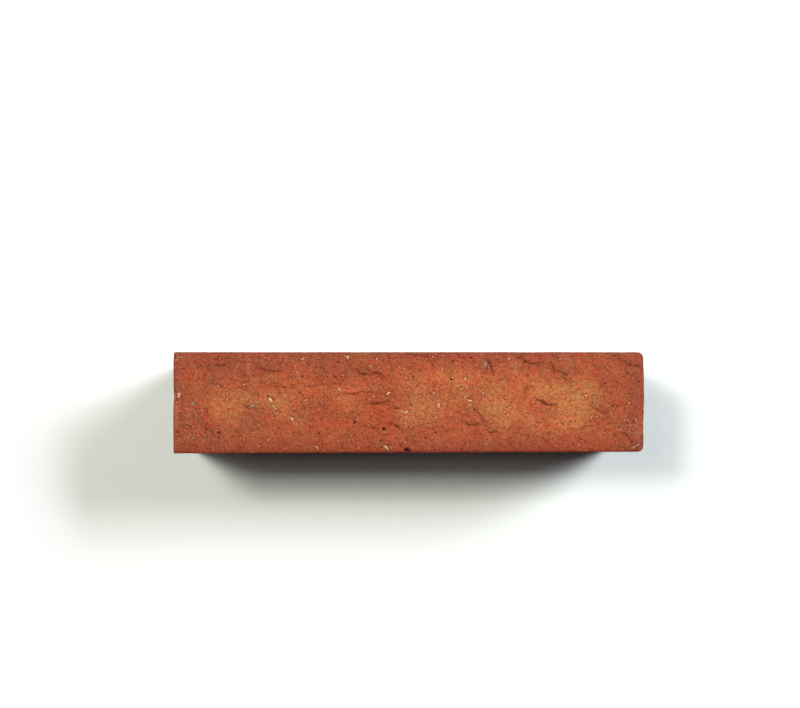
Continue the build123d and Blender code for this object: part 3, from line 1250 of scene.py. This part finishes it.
@dataclass(frozen=True)
class ClayFinish:
    """Colours, patterns and roughness of the fired clay."""

    body: tuple = srgb(184, 92, 58)
    deep: tuple = srgb(171, 83, 53)
    rim: tuple = srgb(155, 78, 59)
    hem: tuple = srgb(156, 70, 44)
    flash: tuple = srgb(204, 126, 76)
    ember: tuple = srgb(212, 114, 68)
    rust: tuple = srgb(184, 85, 51)
    scorch: tuple = srgb(144, 76, 60)
    blush: tuple = srgb(162, 86, 66)
    dust: tuple = srgb(192, 126, 100)
    pale: tuple = srgb(222, 186, 150)
    # Painted shade inside the pores: this colour where they are deepest, the next where they are shallow
    pore_shadow: tuple = srgb(46, 16, 10)
    pore: tuple = srgb(98, 32, 14)
    # Painted shade on the torn floors
    tear_floor_shade: tuple = srgb(146, 46, 12)
    # Painted shade in the pinholes, along the arrises and in the rings round the grains
    crease: tuple = srgb(124, 40, 18)
    # Painted shade along the crease lines
    cleft_shade: tuple = srgb(104, 30, 12)
    bed: tuple = srgb(158, 88, 59)
    bed_dark: tuple = srgb(134, 74, 52)
    end: tuple = srgb(174, 114, 79)
    end_pale: tuple = srgb(182, 136, 100)

    blotches: Pattern = Pattern(0.16, 3.0, 0.6, 0.35, 0.65)
    ragged: Pattern = Pattern(0.45, 4.0, 0.65, 0.25, 0.75, 0.55, 1.3)
    hues: Pattern = Pattern(0.11, 2.0, 0.5, 0.35, 0.65)
    drifts: Pattern = Pattern(0.42, 4.0, 0.8, 0.34, 0.66, stretch=(1.0, 1.0, 0.7))
    gaps_in_shade_rings: Pattern = Pattern(1.1, 2.0, 0.5, 0.4, 0.6)
    bed_zones: Pattern = Pattern(0.04, 4.0, 0.6, 0.3, 0.75, stretch=(1.0, 1.0, 0.35))
    end_zones: Pattern = Pattern(0.03, 4.0, 0.6, 0.3, 0.7)
    drags: Pattern = Pattern(0.7, 4.0, 0.65, 0.35, 0.65, stretch=(1.0, 1.0, 0.03))
    scuffs: Pattern = Pattern(0.12, 4.0, 0.7, 0.56, 0.72, stretch=(1.0, 1.0, 0.4))

    hue_tinges: tuple = ((1.03, 0.96, 0.98), (0.97, 1.05, 1.04))
    drift_tinges: tuple = ((1.09, 0.85, 0.93), (0.91, 1.17, 1.045))
    grain_tinges: tuple = ((0.76, 0.54, 0.44), (1.25, 1.33, 1.4))
    drag_tinges: tuple = ((0.8, 0.74, 0.72), (1.16, 1.2, 1.2))

    grain_per_mm: float = 0.55
    chalk: tuple[float, float, float] = (0.75, 0.34, 0.2)
    pinholes: tuple[float, float, float] = (0.8, 0.42, 0.3)
    calm_sides: float = 0.45
    drag_share: float = 0.5
    scuff_share: float = 0.4
    chalk_by_flash: tuple[float, float] = (0.35, 0.38)
    pinholes_by_flash: tuple[float, float] = (-0.4, 0.75)
    pinhole_depth: float = 0.5
    # How strong the painted shade along the arrises is
    arris_shade_share: float = 0.65
    # Where the ring of painted shade round each grain lies, and how it eases
    shade_ring_place: float = 0.15
    shade_ring: tuple[float, ...] = (0.1, 0.45, 0.85, 0.0)
    cleft_shade_line: tuple[float, ...] = (0.05, 0.42, 0.85, 0.0)
    pore_edge: tuple[float, ...] = (-0.15, 0.15, 0.95, 0.0)
    pore_shade_by_depth: tuple[float, ...] = (0.0, 0.6, 0.6, 1.0)
    pore_shadow_depths: tuple[float, ...] = (0.5, 1.1)
    relief: float = 0.9
    roughness: float = 0.92
    shine: float = 0.3

    def material(self, grain: FiredGrain, specks: Specks) -> bpy.types.Material:
        """Build the clay's material.

        Args:
            grain: The shared grain group.
            specks: The shared speck group.

        Returns:
            The material.
        """
        clay, bench = new_material("fired_clay")
        place = bench.place()
        colour = self.stained(bench, place)

        colour = bench.tinge(1.0, colour, self.hues.lay(bench, place), self.hue_tinges)
        calm = bench.ease(bench.attribute("side"), 0.0, 1.0, 1.0, self.calm_sides)
        colour = bench.tinge(calm, colour, self.drifts.lay(bench, place), self.drift_tinges)
        fine = grain.lay(bench, place, self.grain_per_mm)
        colour = bench.tinge(calm, colour, fine.outputs["Tone"], self.grain_tinges)

        flash = bench.attribute(Tint.FLASH.value)
        chalk = specks.lay(bench, place, *self.chalk).outputs["Mask"]
        powder = bench.math("MULTIPLY", chalk, bench.math("MULTIPLY_ADD", flash, *self.chalk_by_flash))
        colour = bench.mix(powder, colour, self.pale)
        apart = bench.stretched(place, (1.0, 1.0, 1.1))
        # Painted shade in the pinholes, which the relief sinks as well; less of it in the flashed patches
        pinholes = specks.lay(bench, apart, *self.pinholes).outputs["Mask"]
        pinhole_shade = bench.math("MULTIPLY", pinholes, bench.math("MULTIPLY_ADD", flash, *self.pinholes_by_flash))
        colour = bench.mix(pinhole_shade, colour, self.crease)
        colour = self.with_painted_shade(bench, place, colour)

        sunk = bench.math("MULTIPLY", pinholes, self.pinhole_depth)
        height = bench.math("SUBTRACT", fine.outputs["Height"], sunk)
        bench.cover(colour, bench.bumped(height, self.relief), self.roughness, self.shine)
        return clay

    def stained(self, bench: Bench, place: object) -> bpy.types.NodeSocket:
        """Colour of the clay with its rims, sides and tints.

        Args:
            bench: The material's bench.
            place: Place on the object, in millimetres.

        Returns:
            The colour.
        """
        colour = bench.mix(self.blotches.lay(bench, place), self.deep, self.body)
        ragged = self.ragged.lay(bench, place)
        for edge, shade in {"rim": self.rim, "hem": self.hem}.items():
            colour = bench.mix(bench.times(bench.attribute(edge), ragged), colour, shade)
        colour = bench.mix(bench.attribute("side"), colour, self.side_colour(bench, place))
        tints = {
            Tint.RUST: self.rust,
            Tint.EMBER: self.ember,
            Tint.BLUSH: self.blush,
            Tint.SCORCH: self.scorch,
            Tint.FLASH: self.flash,
            Tint.DUST: self.dust,
        }
        for tint, shade in tints.items():
            colour = bench.mix(bench.times(bench.attribute(tint.value), ragged), colour, shade)
        return colour

    def with_painted_shade(self, bench: Bench, place: object, colour: object) -> bpy.types.NodeSocket:
        """The colour with painted shade in the torn floors and the pores, along the edges, round the grains
        and along the creases.

        Args:
            bench: The material's bench.
            place: Place on the object, in millimetres.
            colour: The colour so far.

        Returns:
            The colour.
        """
        # Painted shade on the torn floors
        colour = bench.mix(bench.attribute("tear_floor_shade"), colour, self.tear_floor_shade)
        # Painted shade along the arrises
        arris_shade = bench.math("MULTIPLY", bench.attribute("arris_shade"), self.arris_shade_share)
        colour = bench.mix(arris_shade, colour, self.crease)
        # A broken ring of painted shade round each grain, in its socket
        shade_ring = bench.math("ABSOLUTE", bench.math("SUBTRACT", bench.attribute("socket"), self.shade_ring_place))
        broken = self.gaps_in_shade_rings.lay(bench, place)
        shade_round_grains = bench.math("MULTIPLY", bench.ease(shade_ring, *self.shade_ring), broken)
        colour = bench.mix(shade_round_grains, colour, self.crease)
        # Painted shade along the crease lines
        line = bench.ease(bench.math("ABSOLUTE", bench.attribute("gap")), *self.cleft_shade_line)
        colour = bench.mix(bench.times(line, bench.attribute("cleft_shade")), colour, self.cleft_shade)
        # Painted shade inside the pores, darkest where they are deepest
        pore_shade_colour = bench.mix(bench.ease(bench.attribute("pit"), *self.pore_shadow_depths), self.pore, self.pore_shadow)
        sunk = bench.ease(bench.attribute("pit"), *self.pore_shade_by_depth)
        within = bench.ease(bench.attribute("pore"), *self.pore_edge)
        return bench.mix(bench.math("MULTIPLY", within, sunk), colour, pore_shade_colour)

    def side_colour(self, bench: Bench, place: object) -> bpy.types.NodeSocket:
        """Colour of the faces that aren't torn: brown beds with drag lines, paler ends.

        Args:
            bench: The material's bench.
            place: Place on the object, in millimetres.

        Returns:
            The colour.
        """
        bed = bench.mix(self.bed_zones.lay(bench, place), self.bed, self.bed_dark)
        end = bench.mix(self.end_zones.lay(bench, place), self.end, self.end_pale)
        colour = bench.mix(bench.attribute("bed"), end, bed)
        colour = bench.tinge(self.drag_share, colour, self.drags.lay(bench, place), self.drag_tinges)
        scuff = self.scuffs.lay(bench, place)
        return bench.mix(bench.math("MULTIPLY", scuff, self.scuff_share), colour, self.dust)


@dataclass(frozen=True)
class GritFinish:
    """Finish of one kind of grain, between two colours."""

    name: str
    light: tuple
    dark: tuple
    roughness: float
    grain_per_mm: float = 1.6
    grain_share: float = 0.25
    own_share: float = 0.85
    relief: float = 0.15
    relief_share: float = 0.6

    def material(self, grain: FiredGrain) -> bpy.types.Material:
        """Build the grains' material on the shared grain group."""
        grit, bench = new_material(self.name)
        fine = grain.lay(bench, bench.place(), self.grain_per_mm)
        own = bench.math("MULTIPLY", bench.attribute("shade"), self.own_share)
        tone = bench.math("MULTIPLY_ADD", fine.outputs["Tone"], self.grain_share, own)
        normal = bench.bumped(fine.outputs["Height"], self.relief, self.relief_share)
        bench.cover(bench.mix(tone, self.dark, self.light), normal, self.roughness)
        return grit


WARM_WHITE = (0.988, 1.009, 0.895)
COOL_WHITE = (0.934, 1.016, 1.027)
WHITE = (1.0, 1.0, 1.0, 1.0)


@dataclass(frozen=True)
class SoftLamp:
    """A rectangular studio lamp, turned to the brick's middle."""

    name: str
    azimuth: float
    height: float
    distance: float
    size: tuple[float, float]
    roll: float
    level: float
    colour: tuple[float, float, float]
    aim: tuple[float, float, float] = (0.0, 0.0, 0.06)

    def hang(self) -> None:
        """Add the lamp, as bright as gives a white floor this level under it."""
        lamp = bpy.data.lights.new(self.name, "AREA")
        lamp.shape = "RECTANGLE"
        lamp.size, lamp.size_y = self.size
        rise, turn = math.radians(self.height), math.radians(self.azimuth)
        lamp.energy = self.level * math.pi**2 * self.distance**2 / math.sin(rise)
        lamp.color = self.colour
        away = Vector((math.cos(rise) * math.cos(turn), math.cos(rise) * math.sin(turn), math.sin(rise)))
        hung = add_object(self.name, lamp)
        hung.location = away * self.distance + Vector(self.aim)
        hung.rotation_euler = (away.to_track_quat("Z", "Y") @ Quaternion((0, 0, 1), self.roll)).to_euler()
        hung.visible_camera = False


@dataclass
class Studio:
    """Floor, lamps, surroundings and camera."""

    lamps: tuple[SoftLamp, ...] = (
        SoftLamp("lamp_left", 152.1, 69.0, 2.29, (0.391, 0.357), -1.08, 0.338, WARM_WHITE),
        SoftLamp("lamp_left_halo", 152.1, 69.0, 2.29, (0.798, 0.728), -1.08, 0.182, WARM_WHITE),
        SoftLamp("lamp_right", 29.9, 50.9, 1.677, (0.68, 0.484), 0.86, 0.515, COOL_WHITE),
    )
    surround: tuple[float, float, float] = (0.0135, 0.0084, 0.0094)
    floor_seen: float = 1.24
    floor_albedo: float = 0.8
    floor_half: float = 6.0
    bright_from: float = 0.185
    bright_to: float = 0.235
    eye: tuple[float, float, float] = (-0.0307, -0.0055, 1.0656)
    sensor: float = 36.0
    lens: float = 84.05
    shift: tuple[float, float] = (0.0644, 0.0745)

    def build(self) -> None:
        """Set up everything that isn't the brick."""
        for lamp in self.lamps:
            lamp.hang()
        self.light_world()
        self.lay_floor()
        self.aim_camera()

    def seen_directly(self, bench: Bench) -> bpy.types.NodeSocket:
        """1 for rays from the camera, a reflection or a clear medium, and 0 for the light on things."""
        path = bench.node("ShaderNodeLightPath")
        seen = bench.math("MAXIMUM", path.outputs["Is Camera Ray"], path.outputs["Is Glossy Ray"])
        return bench.math("MAXIMUM", seen, path.outputs["Is Transmission Ray"])

    def light_world(self) -> None:
        """Dim even light from all round, which looks white where it is seen."""
        world = bpy.data.worlds.new("surround")
        world.use_nodes = True
        bench = Bench(world.node_tree)
        colour = bench.mix(self.seen_directly(bench), (*self.surround, 1.0), WHITE)
        back = bench.node("ShaderNodeBackground", {"Color": colour})
        bench.finish(back.outputs["Background"], "ShaderNodeOutputWorld")
        bpy.context.scene.world = world

    def lay_floor(self) -> None:
        """A pale floor that keeps the shadow and turns plain white away from the brick."""
        sheet = bmesh.new()
        bmesh.ops.create_grid(sheet, x_segments=1, y_segments=1, size=self.floor_half)
        floor = add_mesh("floor", sheet)

        paint, bench = new_material("floor_paint")
        seen = self.seen_directly(bench)
        level = bench.ease(seen, 0.0, 1.0, self.floor_albedo, self.floor_seen)
        grey = bench.node("ShaderNodeCombineColor", {0: level, 1: level, 2: level}).outputs[0]
        matt = bench.node("ShaderNodeBsdfDiffuse", {"Color": grey}).outputs["BSDF"]
        glow = bench.node("ShaderNodeEmission").outputs["Emission"]
        where = bench.node("ShaderNodeTexCoord").outputs["Object"]
        radius = bench.node("ShaderNodeVectorMath", {0: where}, operation="LENGTH").outputs["Value"]
        far = bench.ease(radius, self.bright_from, self.bright_to)
        blend = bench.node("ShaderNodeMixShader", {0: bench.math("MULTIPLY", far, seen), 1: matt, 2: glow})
        bench.finish(blend.outputs["Shader"])
        floor.data.materials.append(paint)

    def aim_camera(self) -> None:
        """A camera straight above, looking down, with +Y up in the picture."""
        lens = bpy.data.cameras.new("camera")
        lens.sensor_width = self.sensor
        lens.lens = self.lens
        lens.shift_x, lens.shift_y = self.shift
        camera = add_object("camera", lens)
        camera.location = self.eye
        bpy.context.scene.camera = camera


def dress(piece: bpy.types.Object, material: bpy.types.Material) -> None:
    """Give a piece its finish and fix it to the brick's body."""
    piece.data.materials.clear()
    piece.data.materials.append(material)
    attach(piece, BODY)
    piece.data.calc_loop_triangles()
    log.info("%s: %d triangles", piece.name, len(piece.data.loop_triangles))


def main() -> None:
    """Build the studio and the brick."""
    logging.basicConfig(level=logging.INFO, format="%(name)s: %(message)s")
    bpy.context.scene.view_settings.view_transform = "Standard"
    Studio().build()

    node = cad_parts[NODE]
    brick = ClayBody().build(node)
    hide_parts(NODE)
    grain, specks = FiredGrain(), Specks()
    dress(brick, ClayFinish().material(grain, specks))
    # Without this the brick's red light would tint the deep shadow beside it
    brick.visible_diffuse = False

    box = BrickBox.of(NODE)
    kinds = (
        (Grit("pale_grit", PALE_FLECKS, 480, (0.3, 0.9), 0.6, 61, PALE_SWARMS),
         GritFinish("pale_grit", srgb(240, 204, 166), srgb(192, 122, 84), 0.85)),
        (Grit("grey_grit", GREY_FLECKS, 160, (0.4, 1.1), 0.5, 62, GREY_SWARMS),
         GritFinish("grey_grit", srgb(192, 166, 134), srgb(92, 66, 52), 0.8)),
        (Grit("dark_grit", (), 300, (0.4, 1.0), 0.45, 63, DARK_SWARMS),
         GritFinish("dark_grit", srgb(98, 46, 26), srgb(42, 22, 16), 0.7)),
    )
    for grit, finish in kinds:
        dress(grit.build(brick, box), finish.material(grain))


if __name__ == "__main__":
    main()
